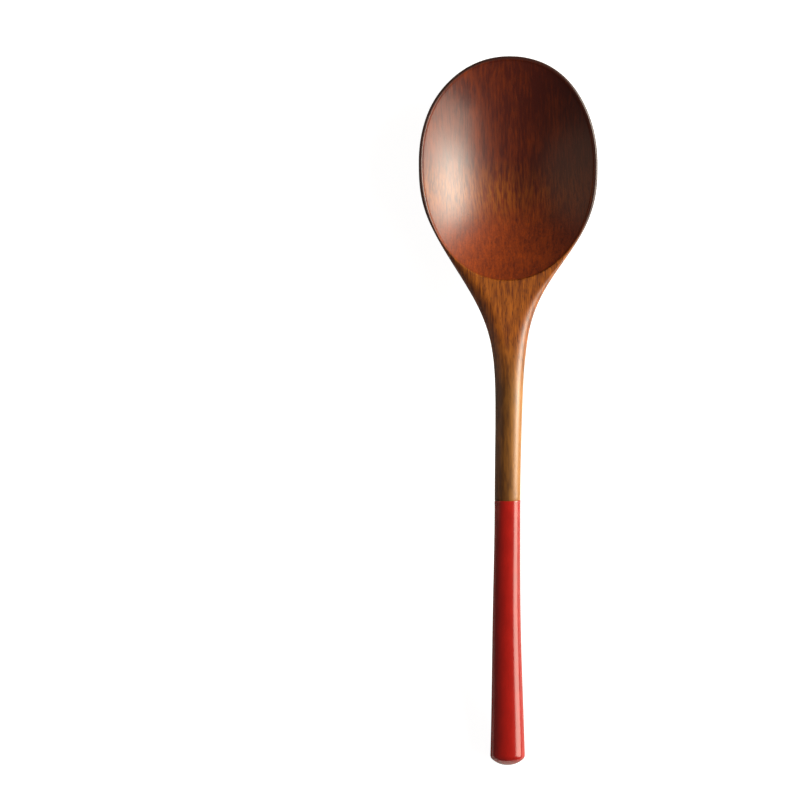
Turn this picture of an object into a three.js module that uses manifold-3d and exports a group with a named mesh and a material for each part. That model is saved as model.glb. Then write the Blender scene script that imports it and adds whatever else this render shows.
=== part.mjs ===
// A carved wooden table spoon whose handle end is dipped in red lacquer, in millimetres, +Z up.
// It lies on its back on the table, z = 0: the underside of the bowl and the handle's end touch it.
// The bowl's tip points along +Y, and the origin is on the table under the middle of the spoon.
//
// The spoon is symmetric about x = 0. Its shape is given by a few curves over s, the distance from
// the bowl's tip measured along the table, and each cross-section is built from those curves.

import * as THREE from 'three';
import { LoftGeometry } from 'three/addons/geometries/LoftGeometry.js';
import { mergeVertices } from 'three/addons/utils/BufferGeometryUtils.js';
import Module from 'manifold-3d';

const { clamp, lerp, smoothstep } = THREE.MathUtils;
const wasm = await Module();
wasm.setup();

// Plan: lengths are measured from the bowl's tip unless they say otherwise.
const LENGTH = 180;
const BOWL_WIDTH = 45.3;
const BOWL_WIDEST_AT = 27.3;
const BOWL_SQUARENESS = 2.12; // exponent of the tip's superellipse, 2 being an ellipse
const SHOULDER_LENGTH = 30.2; // from the widest place to where 1/e of the bowl's width is left
const SHOULDER_CURVE = 2.65; // the higher, the later and quicker the shoulders draw in
const NECK_AT = 75;
const NECK_WIDTH = 7.2;
const WAIST_FROM_END = 65; // the slimmest place of the handle
const WAIST_WIDTH = 6.5;
const END_WIDTH = 8.9;
const END_SWELL = 1.6; // exponent of the handle's widening from the waist to its end

// Side view: heights are measured from the table.
const RIM_HEIGHT = 13;
const TIP_LIFT = 0.8; // how much higher than that the rim is at the tip
const CREST_HEIGHT = 17.5; // the highest place, on top of the handle
const CREST_AT = 102;
const RISE_FROM = 40; // where the rim starts to rise towards the crest
const KEEL_LENGTH = 26; // from the deepest place to where 1/e of the bowl's depth is left
const KEEL_CURVE = 2.2; // the higher, the later and quicker the underside rises
const END_EASE = 2.2; // over 1.5, the handle levels out towards its end
const NECK_THICKNESS = 7.5;
const WAIST_THICKNESS = 6.2;
const END_THICKNESS = 6.9;
const THICKNESS_SWELL = 2; // exponent of the handle's thickening from the waist to its end
const END_PLAN_BULGE = 2.1; // how far the end bows out, seen from above
const END_SIDE_BULGE = 1.8; // the same, seen from the side

// Cross-sections.
const LIP_RADIUS = 0.6; // rounding of the rim
const ROUNDING_FROM = 52; // where the rim's rounding starts to grow into the handle's
const ROUNDING_TO = 85;
const BOWL_UNDERSIDE = 0.85; // exponent of the underside's arch: 1 is a parabola, 0.5 an ellipse
const HANDLE_UNDERSIDE = 0.45;
const HANDLE_CROWN = 0.65; // how far its upper side bows up, over its half-width
const ROUNDING_SQUARENESS = 2; // exponent of the roundings of rim and handle, 2 being an ellipse
const FOOT_CUT = 0.15; // how much is sanded off the underside, to a small flat foot
const RING_POINTS = 40; // points around a cross-section
const EDGE_CROWDING = 1.5; // over 1, the bowl's points crowd towards its rim

// Hollow of the bowl.
const RIM_WIDTH = 0.85;
const FLOOR_THICKNESS = 3.4; // wood left under the deepest place
const HOLLOW_END_AT = 56.9;
const HOLLOW_SQUARENESS = 2.1; // exponent of its superellipse towards the neck
const HOLLOW_POINTS = 56; // points around it
const HOLLOW_RINGS = 9; // rings of points from its deepest place to its outline
const HALVINGS = 40; // steps in closing in on the outline
const TOOL_OVERSHOOT = 1.03; // the carving tool's dish goes on past the hollow's outline

// Lacquer, a closed-end sleeve over the last stretch of the handle.
const COAT_LENGTH = 67.5;
const COAT_THICKNESS = 0.4;
const COAT_GAP = 0.3; // clearance between the sleeve and the wood inside it
const CORE_OVERLAP = 4; // how far the core reaches back into the full section

// How finely the lofts are drawn.
const TIP_STATIONS = 9;
const HANDLE_STATIONS = 24;
const COAT_STATIONS = 9;
const ROUNDING_STATIONS = 6;
const MERGE_WITHIN = 1e-4;

const waistAt = LENGTH - WAIST_FROM_END;
const coatFrom = LENGTH - COAT_LENGTH;
const lastFullSection = LENGTH - END_SIDE_BULGE;
const hollowDepth = RIM_HEIGHT - FLOOR_THICKNESS;

// Height of a superellipse of half-width 1 and height 1 at t from its middle.
function arch(t, exponent) {
  return Math.max(0, 1 - Math.abs(t) ** exponent) ** (1 / exponent);
}

// A handle size at s: its value at the waist, growing towards the neck and towards the end.
function alongHandle(s, neck, waist, end, swell) {
  if (s > waistAt) return lerp(waist, end, ((s - waistAt) / WAIST_FROM_END) ** swell);
  return lerp(waist, neck, Math.min(1, (waistAt - s) / (waistAt - NECK_AT)) ** 2);
}

// How much of the bowl is left at s: all of it up to the widest place, then fading along the neck.
function bowlShare(s, length, curve) {
  const past = Math.max(0, s - BOWL_WIDEST_AT);
  return Math.exp(-((past / length) ** curve));
}

// Half of the spoon's width at s.
function outlineHalfWidth(s) {
  const widest = BOWL_WIDTH / 2;
  if (s < BOWL_WIDEST_AT) return widest * arch(1 - s / BOWL_WIDEST_AT, BOWL_SQUARENESS);
  const handle = alongHandle(s, NECK_WIDTH, WAIST_WIDTH, END_WIDTH, END_SWELL) / 2;
  return lerp(handle, widest, bowlShare(s, SHOULDER_LENGTH, SHOULDER_CURVE));
}

// Height of the rim, and of the top of the handle, at s.
function topHeight(s) {
  const lift = TIP_LIFT * Math.max(0, 1 - s / BOWL_WIDEST_AT) ** 2;
  const rise = (CREST_HEIGHT - RIM_HEIGHT) * smoothstep(s, RISE_FROM, CREST_AT);
  const t = clamp((s - CREST_AT) / (lastFullSection - CREST_AT), 0, 1);
  const fall = (CREST_HEIGHT - END_THICKNESS) * lerp(t ** 3, t ** 2, END_EASE);
  return RIM_HEIGHT + lift + rise - fall;
}

// Height of the underside's middle at s, before the foot is sanded flat.
function keelHeight(s) {
  if (s < BOWL_WIDEST_AT) {
    const edge = topHeight(s) - LIP_RADIUS;
    const towardsTip = 1 - s / BOWL_WIDEST_AT;
    return edge - (edge + FOOT_CUT) * (1 - towardsTip ** 2) ** BOWL_UNDERSIDE;
  }
  const ends = [NECK_THICKNESS, WAIST_THICKNESS, END_THICKNESS];
  const thickness = alongHandle(s, ...ends, THICKNESS_SWELL);
  return lerp(topHeight(s) - thickness, -FOOT_CUT, bowlShare(s, KEEL_LENGTH, KEEL_CURVE));
}

// Half-width or half-height of the rounded end at s: an arc that bows out by bulge over its chord.
function endArc(s, halfChord, bulge, inset) {
  const radius = (halfChord ** 2 + bulge ** 2) / (2 * bulge);
  const fromEnd = LENGTH - s;
  if (fromEnd >= radius) return Infinity;
  return Math.sqrt(Math.max(0, (radius - inset) ** 2 - (radius - fromEnd) ** 2));
}

// Closed cross-section at s, set in by inset all round: over the top from +X to -X, then underneath.
function section(s, inset = 0) {
  const half = Math.min(outlineHalfWidth(s) - inset, endArc(s, END_WIDTH / 2, END_PLAN_BULGE, inset));
  const middle = (topHeight(s) + keelHeight(s)) / 2;
  const fullHeight = (topHeight(s) - keelHeight(s)) / 2 - inset;
  const halfHeight = Math.min(fullHeight, endArc(s, END_THICKNESS / 2, END_SIDE_BULGE, inset));
  const roundness = smoothstep(s, ROUNDING_FROM, ROUNDING_TO);
  const shoulderHeight = Math.min(halfHeight, lerp(LIP_RADIUS, HANDLE_CROWN * half, roundness));
  const shoulderWidth = Math.min(half, lerp(LIP_RADIUS, half, roundness));
  const edge = middle + halfHeight - shoulderHeight;
  const underside = lerp(BOWL_UNDERSIDE, HANDLE_UNDERSIDE, roundness);
  const crowding = lerp(EDGE_CROWDING, 1, roundness);
  const depth = edge - (middle - halfHeight);

  return Array.from({ length: RING_POINTS }, (_, i) => {
    const turn = (i / RING_POINTS) * 2 * Math.PI;
    const side = Math.cos(turn);
    const across = Math.sign(side) * (1 - (1 - Math.abs(side)) ** crowding);
    if (Math.sin(turn) >= 0) {
      const inRounding = shoulderWidth > 0 ? 1 - (half * (1 - Math.abs(across))) / shoulderWidth : 0;
      const height = shoulderHeight * arch(Math.max(0, inRounding), ROUNDING_SQUARENESS);
      return new THREE.Vector3(half * across, LENGTH / 2 - s, edge + height);
    }
    const drop = depth * Math.max(0, 1 - across ** 2) ** underside;
    return new THREE.Vector3(half * across, LENGTH / 2 - s, edge - drop);
  });
}

// Distances from one place to another, both included, evenly spaced.
function evenSteps(from, to, count) {
  return Array.from({ length: count + 1 }, (_, i) => lerp(from, to, i / count));
}

// The same, closing up towards the first place, where the surface curves most.
function gradedSteps(from, to, count) {
  return Array.from({ length: count + 1 }, (_, i) => lerp(from, to, (i / count) ** 2));
}

// Stations of the handle from a place on it to its rounded end, set in by inset.
function handleStations(from, inset) {
  const roundingFrom = LENGTH - 2 * Math.max(END_PLAN_BULGE, END_SIDE_BULGE);
  const rounding = gradedSteps(LENGTH - inset, roundingFrom, ROUNDING_STATIONS).slice(0, -1);
  const corners = [LENGTH - END_PLAN_BULGE, lastFullSection];
  const straight = evenSteps(from, roundingFrom, COAT_STATIONS);
  return [...straight, ...rounding, ...corners].sort((a, b) => a - b);
}

// A closed three.js surface as a solid. Where a section has shrunk to a point, its corners are
// merged and the triangles that collapsed with them are dropped.
function solid(surface) {
  const bare = new THREE.BufferGeometry();
  bare.setAttribute('position', surface.getAttribute('position'));
  bare.setIndex(surface.index);
  const merged = mergeVertices(bare, MERGE_WITHIN);
  const corners = merged.index.array;
  const kept = [];
  for (let i = 0; i < corners.length; i += 3) {
    const [a, b, c] = corners.slice(i, i + 3);
    if (a !== b && b !== c && c !== a) kept.push(a, b, c);
  }
  return new wasm.Manifold(new wasm.Mesh({
    numProp: 3,
    vertProperties: merged.attributes.position.array,
    triVerts: new Uint32Array(kept),
  }));
}

// The hollow's half-width at s: half a superellipse towards the tip, half towards the neck.
function hollowHalfWidth(s) {
  const widest = BOWL_WIDTH / 2 - RIM_WIDTH;
  const past = s - BOWL_WIDEST_AT;
  if (past < 0) return widest * arch(past / (BOWL_WIDEST_AT - RIM_WIDTH), BOWL_SQUARENESS);
  return widest * arch(past / (HOLLOW_END_AT - BOWL_WIDEST_AT), HOLLOW_SQUARENESS);
}

// Distance from the deepest place to the hollow's outline, in a direction turned from +X to +Y.
function hollowReach(turn) {
  let inside = 0;
  let outside = LENGTH;
  for (let step = 0; step < HALVINGS; step += 1) {
    const reach = (inside + outside) / 2;
    const s = BOWL_WIDEST_AT - reach * Math.sin(turn);
    if (Math.abs(reach * Math.cos(turn)) < hollowHalfWidth(s)) inside = reach;
    else outside = reach;
  }
  return inside;
}

// The tool that carves the hollow: a parabolic dish whose depth is measured from the rim, with
// straight walls above it.
function hollowTool() {
  const turns = Array.from({ length: HOLLOW_POINTS }, (_, i) => (i / HOLLOW_POINTS) * 2 * Math.PI);
  const reaches = turns.map(hollowReach);
  const ring = (share, lift) => turns.map((turn, i) => {
    const reach = share * reaches[i];
    const s = BOWL_WIDEST_AT - reach * Math.sin(turn);
    const height = topHeight(s) - hollowDepth * (1 - share ** 2) + lift;
    return new THREE.Vector3(reach * Math.cos(turn), LENGTH / 2 - s, height);
  });
  const dish = evenSteps(0, TOOL_OVERSHOOT, HOLLOW_RINGS).map((share) => ring(share, 0));
  return solid(new LoftGeometry([...dish, ring(TOOL_OVERSHOOT, RIM_HEIGHT)], { capEnd: true }));
}

// Everything below the table, as a tool that sands the foot flat.
function belowTable() {
  const depth = RIM_HEIGHT;
  return solid(new THREE.BoxGeometry(2 * BOWL_WIDTH, 2 * LENGTH, depth).translate(0, 0, -depth / 2));
}

// Bowl, neck and handle, carved from one piece of wood. Under the lacquer it is a slimmer core.
function carvedWood() {
  const stations = [
    ...gradedSteps(0, BOWL_WIDEST_AT, TIP_STATIONS),
    ...evenSteps(BOWL_WIDEST_AT, coatFrom - COAT_GAP, HANDLE_STATIONS).slice(1),
  ];
  const bare = solid(new LoftGeometry(stations.map((s) => section(s)), { capEnd: true }));
  const inset = COAT_THICKNESS + COAT_GAP;
  const coreStations = handleStations(coatFrom - COAT_GAP - CORE_OVERLAP, inset);
  const core = solid(new LoftGeometry(coreStations.map((s) => section(s, inset)), { capStart: true }));
  return bare.add(core).subtract(hollowTool()).subtract(belowTable());
}

// The lacquer: a sleeve flush with the bare handle, open where the wood goes in.
function lacquer() {
  const outerStations = handleStations(coatFrom, 0);
  const outer = solid(new LoftGeometry(outerStations.map((s) => section(s)), { capStart: true }));
  const innerStations = handleStations(coatFrom - COAT_GAP, COAT_THICKNESS);
  const innerSections = innerStations.map((s) => section(s, COAT_THICKNESS));
  return outer.subtract(solid(new LoftGeometry(innerSections, { capStart: true })));
}

// A named three.js mesh of a solid.
function part(name, shape, material) {
  const { vertProperties, triVerts } = shape.getMesh();
  const geometry = new THREE.BufferGeometry();
  geometry.setAttribute('position', new THREE.BufferAttribute(vertProperties, 3));
  geometry.setIndex(new THREE.BufferAttribute(triVerts, 1));
  geometry.computeVertexNormals();
  const mesh = new THREE.Mesh(geometry, material);
  mesh.name = name;
  return mesh;
}

const varnishedWood = new THREE.MeshStandardMaterial({ color: 0x7b4320, roughness: 0.38, metalness: 0 });
const redLacquer = new THREE.MeshStandardMaterial({ color: 0x9e1c14, roughness: 0.16, metalness: 0 });

const spoon = new THREE.Group();
spoon.add(
  part('carved_spoon', carvedWood(), varnishedWood),
  part('red_lacquer_coat', lacquer(), redLacquer),
);

export default spoon;
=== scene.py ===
"""A carved wooden table spoon with a dipped red lacquer handle end, lying on its back.

The CAD frame fixes the spoon's size and place. This script carves the fine surface of the wood
and of the lacquer around it, gives both their finish, and sets up a plain studio.

Shapes are worked out in millimetres over s, the distance from the bowl's tip along the table, and
x, the distance from the spoon's plane of symmetry. They become metres when a mesh is made.
"""

import logging
import math
from collections.abc import Callable
from dataclasses import dataclass
from enum import Enum

import bmesh
import bpy
import numpy as np
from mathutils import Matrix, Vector


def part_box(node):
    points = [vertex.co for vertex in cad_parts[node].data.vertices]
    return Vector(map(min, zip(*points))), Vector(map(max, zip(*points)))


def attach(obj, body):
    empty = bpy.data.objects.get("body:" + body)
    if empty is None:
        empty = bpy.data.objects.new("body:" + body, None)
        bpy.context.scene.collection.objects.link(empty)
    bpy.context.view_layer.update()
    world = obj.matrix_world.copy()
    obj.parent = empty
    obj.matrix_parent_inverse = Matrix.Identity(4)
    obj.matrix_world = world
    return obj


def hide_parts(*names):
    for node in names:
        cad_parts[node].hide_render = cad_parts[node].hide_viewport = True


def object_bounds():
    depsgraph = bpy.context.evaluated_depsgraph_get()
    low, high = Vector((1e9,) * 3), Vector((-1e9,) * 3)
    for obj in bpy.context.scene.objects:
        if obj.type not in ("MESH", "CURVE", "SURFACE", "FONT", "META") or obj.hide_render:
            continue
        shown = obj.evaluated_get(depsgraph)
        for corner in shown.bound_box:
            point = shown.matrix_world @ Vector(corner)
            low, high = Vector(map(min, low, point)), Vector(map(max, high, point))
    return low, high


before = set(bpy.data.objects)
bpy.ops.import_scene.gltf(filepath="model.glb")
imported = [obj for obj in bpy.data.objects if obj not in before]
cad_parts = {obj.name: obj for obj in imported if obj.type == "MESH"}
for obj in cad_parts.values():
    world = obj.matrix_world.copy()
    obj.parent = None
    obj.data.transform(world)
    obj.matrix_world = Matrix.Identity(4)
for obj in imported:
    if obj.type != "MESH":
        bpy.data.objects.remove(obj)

CAD_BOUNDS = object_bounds()
MM = 0.001  # metres in a millimetre
WELD = 2e-7  # metres; points of neighbouring grids closer than this are the same point
NOTHING = 1e-9  # keeps a division finite where its divisor comes down to nothing

Colour = tuple[float, float, float]
Triple = tuple[float, float, float]
Knots = tuple[tuple[float, float], ...]
Curve = Callable[[np.ndarray], np.ndarray]
Source = bpy.types.NodeSocket | float | tuple[float, ...]

WHITE: Colour = (1.0, 1.0, 1.0)
WARM: Colour = (1.0, 0.97, 0.83)
GLOW: Colour = (1.0, 0.6, 0.4)
log = logging.getLogger("spoon")


def arch(t: np.ndarray, exponent: float) -> np.ndarray:
    """Return the height of a superellipse of half-width 1 and height 1, at t from its middle.

    The height is the exponent-th root of one minus t to that exponent, and 0 outside.
    """
    return np.maximum(0.0, 1.0 - np.abs(t) ** exponent) ** (1.0 / exponent)


def smoothstep(value: np.ndarray, low: float, high: float) -> np.ndarray:
    """Return 0 below low, 1 above high, and between them the cubic 3t^2 - 2t^3."""
    t = np.clip((value - low) / (high - low), 0.0, 1.0)
    return t * t * (3.0 - 2.0 * t)


def blend(a: np.ndarray, b: np.ndarray, share: np.ndarray) -> np.ndarray:
    """Return a where share is 0, b where it is 1, and the straight mix between."""
    return a + (b - a) * share


def soft_min(a: np.ndarray, b: np.ndarray, radius: float) -> np.ndarray:
    """Return the smaller of a and b, with the corner where they cross rounded off.

    Where the two differ by less than radius, a parabola takes the corner down by up to a quarter
    of radius, so the crossing stays smooth.
    """
    near = np.maximum(radius - np.abs(a - b), 0.0) / radius
    return np.minimum(a, b) - near * near * radius / 4.0


def soft_max(a: np.ndarray, b: np.ndarray, radius: float) -> np.ndarray:
    """Return the larger of a and b, with the corner where they cross filled in."""
    return -soft_min(-a, -b, radius)


def eased(s: np.ndarray, knots: Knots) -> np.ndarray:
    """Return a smooth curve through the knots, level at each, built from cubic steps.

    Args:
        s: Where to read the curve.
        knots: Pairs of place and value, in rising order of place.

    Returns:
        The curve's value at each s, held before the first knot and after the last.
    """
    value = np.full_like(s, knots[0][1], dtype=float)
    for (start, low), (end, high) in zip(knots, knots[1:]):
        value = value + (high - low) * smoothstep(s, start, end)
    return value


@dataclass(frozen=True)
class SpoonForm:
    """The carved shape, in millimetres, as curves over s and cross-sections built from them.

    The overall sizes come from the CAD frame; the rest are the carver's own sizes. A name in _at,
    _from or _to is a distance from the bowl's tip, and one in _edge or _corner says how far an
    edge is rounded. A name in _curve, _swell, _squareness or _underside is the power in a curve's
    formula. step_outer and step_inner are distances inwards from the hollow's outline.
    """

    length: float
    bowl_width: float
    crest_height: float
    coat_length: float
    widest_at: float = 27.3
    squareness: float = 2.12
    shoulder_length: float = 30.2
    shoulder_curve: float = 2.65
    neck_at: float = 75.0
    neck_width: float = 7.2
    waist_from_end: float = 65.0
    waist_width: float = 6.5
    end_width: float = 8.9
    end_swell: float = 1.6
    thickness_swell: float = 2.0
    rim_height: float = 13.0
    tip_lift: float = 0.8
    crest_at: float = 102.0
    rise_from: float = 40.0
    keel_length: float = 26.0
    keel_curve: float = 2.2
    end_ease: float = 2.2
    neck_thickness: float = 7.5
    waist_thickness: float = 6.2
    end_thickness: float = 6.9
    end_plan_bulge: float = 2.1
    end_side_bulge: float = 1.8
    end_corner: float = 0.5
    lip_radius: float = 0.6
    rounding_from: float = 52.0
    left_rounding_from: float = 43.0
    rounding_to: float = 85.0
    ridge_share: float = 0.25
    bowl_underside: float = 0.85
    handle_underside: float = 0.45
    handle_crown: float = 0.65
    rounding_squareness: float = 2.0
    foot_cut: float = 0.15
    foot_edge: float = 0.06
    rim_width: float = 0.85
    floor_thickness: float = 3.4
    hollow_end_at: float = 56.9
    hollow_squareness: float = 2.1
    hollow_edge: float = 0.6
    hollow_end_edge: float = 0.12
    crisp_from: float = 45.0
    hollow_step: float = 0.3
    step_outer: float = -0.1
    step_inner: float = 0.35
    sway: Knots = (
        (0.0, 0.5), (14.0, 0.05), (43.0, 0.15), (58.0, -0.25), (77.0, 0.35), (113.0, -0.12),
        (140.0, -0.25), (178.0, 0.1),
    )

    @property
    def coat_from(self) -> float:
        """Where the lacquer starts."""
        return self.length - self.coat_length

    @property
    def waist_at(self) -> float:
        """Where the handle is slimmest."""
        return self.length - self.waist_from_end

    def along_handle(
        self, s: np.ndarray, neck: float, waist: float, end: float, swell: float
    ) -> np.ndarray:
        """Return a handle size: its waist value, growing to the neck's and to the end's.

        Towards the neck it grows with the square of the distance from the waist, and towards the
        end with that distance to the power swell.

        Args:
            s: Distance from the tip.
            neck: The size at the neck.
            waist: The size at the waist.
            end: The size at the handle's end.
            swell: The power in which it grows towards the end.

        Returns:
            The size at each s.
        """
        to_end = np.clip((s - self.waist_at) / self.waist_from_end, 0.0, None)
        to_neck = np.clip((self.waist_at - s) / (self.waist_at - self.neck_at), 0.0, 1.0)
        return waist + (end - waist) * to_end**swell + (neck - waist) * to_neck**2

    def bowl_share(self, s: np.ndarray, length: float, curve: float) -> np.ndarray:
        """Return how much of the bowl is left: 1 up to the widest place, then a fading bell.

        The bell is e to the power of minus (distance past the widest place / length)^curve.

        Args:
            s: Distance from the tip.
            length: The bell's length.
            curve: The bell's power; a higher one holds on longer and then falls faster.

        Returns:
            The share at each s, from 1 down to 0.
        """
        past = np.maximum(0.0, s - self.widest_at)
        return np.exp(-((past / length) ** curve))

    def half_width(self, s: np.ndarray) -> np.ndarray:
        """Return half of the width: a superellipse at the tip, a bell fading into the handle."""
        widest = self.bowl_width / 2.0
        tip = widest * arch(np.clip(1.0 - s / self.widest_at, 0.0, None), self.squareness)
        width = self.along_handle(s, self.neck_width, self.waist_width, self.end_width, self.end_swell)
        share = self.bowl_share(s, self.shoulder_length, self.shoulder_curve)
        return np.where(s < self.widest_at, tip, blend(width / 2.0, widest, share))

    def top(self, s: np.ndarray) -> np.ndarray:
        """Return the height of the rim and of the top of the handle.

        The rim lifts with the square of the distance towards the tip, a cubic step carries it up
        to the crest, and a cubic brings the handle down to lie on the table.
        """
        lift = self.tip_lift * np.clip(1.0 - s / self.widest_at, 0.0, None) ** 2
        climb = smoothstep(s, self.rise_from, self.crest_at)
        last = self.length - self.end_side_bulge
        t = np.clip((s - self.crest_at) / (last - self.crest_at), 0.0, 1.0)
        fall = (self.crest_height - self.end_thickness) * blend(t**3, t**2, self.end_ease)
        return self.rim_height + lift + (self.crest_height - self.rim_height) * climb - fall

    def keel(self, s: np.ndarray) -> np.ndarray:
        """Return the height of the underside's middle, before the foot is sanded flat.

        Towards the tip it is an arch under the rim; towards the neck a bell fades it into the
        underside of the handle.
        """
        rim_edge = self.top(s) - self.lip_radius
        across = np.clip(1.0 - np.clip(1.0 - s / self.widest_at, 0.0, 1.0) ** 2, 0.0, 1.0)
        tip = rim_edge - (rim_edge + self.foot_cut) * across**self.bowl_underside
        thickness = self.along_handle(
            s, self.neck_thickness, self.waist_thickness, self.end_thickness, self.thickness_swell
        )
        share = self.bowl_share(s, self.keel_length, self.keel_curve)
        handle = blend(self.top(s) - thickness, -self.foot_cut, share)
        return np.where(s < self.widest_at, tip, handle)

    def end_arc(
        self, s: np.ndarray, half_chord: float, bulge: float, inset: np.ndarray
    ) -> np.ndarray:
        """Return the half-size that the rounded end allows: an arc bowing out over its chord.

        The arc's radius is (half_chord^2 + bulge^2) / (2 bulge). Away from the end it allows any
        size.

        Args:
            s: Distance from the tip.
            half_chord: Half the length of the arc's chord.
            bulge: How far the arc bows out over its chord.
            inset: How far the arc is set in, for what lies under a coat.

        Returns:
            The half-size allowed at each s.
        """
        radius = (half_chord**2 + bulge**2) / (2.0 * bulge)
        from_end = self.length - s
        height = np.sqrt(np.maximum(0.0, (radius - inset) ** 2 - (radius - from_end) ** 2))
        return np.where(from_end < radius, height, self.length)

    def roundness(self, s: np.ndarray, across: np.ndarray) -> np.ndarray:
        """Return how far the section has turned from the bowl's into the handle's.

        The carver's knife took more off the left shoulder, so the left side turns earlier. The
        two sides run into each other over a ridge along the middle.

        Args:
            s: Distance from the tip.
            across: Place across the section, from -1 on the left to 1 on the right.

        Returns:
            0 for the bowl's section, 1 for the handle's, and what lies between.
        """
        right = smoothstep(s, self.rounding_from, self.rounding_to)
        left = smoothstep(s, self.left_rounding_from, self.rounding_to)
        return blend(right, left, smoothstep(-across, -self.ridge_share, self.ridge_share))

    def plan_curve(self, s: np.ndarray, inset: np.ndarray) -> np.ndarray:
        """Return the half-width with the rounded end, set in by inset."""
        side = self.half_width(s) - inset
        arc = self.end_arc(s, self.end_width / 2.0, self.end_plan_bulge, inset)
        return np.maximum(0.0, soft_min(side, arc, self.end_corner))

    def section(
        self, s: np.ndarray, across: np.ndarray, from_edge: np.ndarray, inset: np.ndarray
    ) -> tuple[np.ndarray, np.ndarray]:
        """Return the heights of the upper side and of the underside.

        The upper side is a plateau that rounds down to the edge line over its last millimetres,
        as a superellipse of the distance from the edge. The underside hangs from the edge line
        by its depth times (1 - across^2) to a power between a parabola's and an ellipse's.

        Args:
            s: Distance from the tip.
            across: Place across the section, from -1 to 1 between its edges.
            from_edge: Distance from the outline, seen from above.
            inset: How far the whole section is set in, for what lies under a coat.

        Returns:
            The upper and the lower heights.
        """
        top, keel = self.top(s), self.keel(s)
        middle = (top + keel) / 2.0
        arc = self.end_arc(s, self.end_thickness / 2.0, self.end_side_bulge, inset)
        half_height = np.maximum(0.0, soft_min((top - keel) / 2.0 - inset, arc, self.end_corner))
        turned = self.roundness(s, across)
        width = self.plan_curve(s, inset)
        crown = blend(self.lip_radius, self.handle_crown * width, turned)
        shoulder = np.minimum(half_height, crown)
        reach = np.maximum(NOTHING, np.minimum(width, blend(self.lip_radius, width, turned)))
        edge = middle + half_height - shoulder
        inside = np.clip(1.0 - from_edge / reach, 0.0, 1.0)
        upper = edge + shoulder * arch(inside, self.rounding_squareness)
        power = blend(self.bowl_underside, self.handle_underside, turned)
        depth = edge - (middle - half_height)
        lower = edge - depth * np.clip(1.0 - across**2, 0.0, 1.0) ** power
        return upper, soft_max(lower, np.zeros_like(lower), self.foot_edge)

    def hollow_half_width(self, s: np.ndarray) -> np.ndarray:
        """Return the hollow's half-width: half a superellipse to the tip, half to the neck."""
        to_tip = (self.widest_at - s) / (self.widest_at - self.rim_width)
        to_neck = (s - self.widest_at) / (self.hollow_end_at - self.widest_at)
        share = np.where(
            s < self.widest_at,
            arch(to_tip, self.squareness),
            arch(to_neck, self.hollow_squareness),
        )
        return (self.bowl_width / 2.0 - self.rim_width) * share

    def edge_softness(self, s: np.ndarray) -> np.ndarray:
        """Return how far the hollow's edge is rounded: less at the neck than round the rim."""
        return blend(
            self.hollow_edge,
            self.hollow_end_edge,
            smoothstep(s, self.crisp_from, self.hollow_end_at),
        )

    def hollow_floor(self, s: np.ndarray, radius: np.ndarray, reach: np.ndarray) -> np.ndarray:
        """Return the hollow's height: a parabolic dish below the rim, with a cut step round it.

        The dish falls by its depth times one minus the square of radius / reach. The step is a
        cubic ease over a narrow band just inside the outline.

        Args:
            s: Distance from the tip.
            radius: Distance from the deepest place.
            reach: Distance from there to the hollow's outline, in the same direction.

        Returns:
            The height, which runs on beyond the outline.
        """
        depth = self.rim_height - self.floor_thickness - self.hollow_step
        dish = depth * (1.0 - (radius / reach) ** 2)
        step = self.hollow_step * smoothstep(reach - radius, self.step_outer, self.step_inner)
        return self.top(s) - dish - step

    def reach(self, turn: np.ndarray, half_width: Curve) -> np.ndarray:
        """Return how far it is from the deepest place to an outline, by halving an interval.

        Args:
            turn: Directions, 0 pointing from the deepest place to the handle, growing to +X.
            half_width: The outline's half-width as a function of s.

        Returns:
            The distance in each direction.
        """
        inside, outside = np.zeros_like(turn), np.full_like(turn, self.length)
        halvings = 50
        for _ in range(halvings):
            middle = (inside + outside) / 2.0
            s = self.widest_at + middle * np.cos(turn)
            within = np.abs(middle * np.sin(turn)) < half_width(s)
            inside = np.where(within, middle, inside)
            outside = np.where(within, outside, middle)
        return inside

    def distance_to_outline(self, x: np.ndarray, s: np.ndarray) -> np.ndarray:
        """Return the distance to the spoon's outline, seen from above.

        The outline's right half is sampled every few hundredths of a millimetre, and each point
        takes its least distance to a sample. The points are taken a block at a time, which keeps
        the table of distances small.

        Args:
            x: Distance of each point from the plane of symmetry.
            s: Distance of each point from the tip.

        Returns:
            Each point's distance, in the shape of x.
        """
        tip_samples, rest_samples, block = 900, 2600, 1500
        tip = self.widest_at * np.linspace(0.0, 1.0, tip_samples) ** 2
        rest = np.linspace(self.widest_at, self.length, rest_samples)[1:]
        line_s = np.concatenate([tip, rest])
        line_x = self.half_width(line_s)
        flat_x, flat_s = np.abs(x).ravel(), s.ravel()
        nearest = np.empty_like(flat_x)
        for start in range(0, flat_x.size, block):
            part = slice(start, start + block)
            gap_x = flat_x[part, None] - line_x[None, :]
            gap_s = flat_s[part, None] - line_s[None, :]
            nearest[part] = np.sqrt((gap_x * gap_x + gap_s * gap_s).min(axis=1))
        return nearest.reshape(x.shape)

    def place(self, x: np.ndarray, s: np.ndarray, z: np.ndarray) -> np.ndarray:
        """Return points in metres in the CAD frame, with the slight sway of work done by hand."""
        swayed = x + eased(s, self.sway)
        return np.stack([swayed, self.length / 2.0 - s, z], axis=-1) * MM


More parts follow.
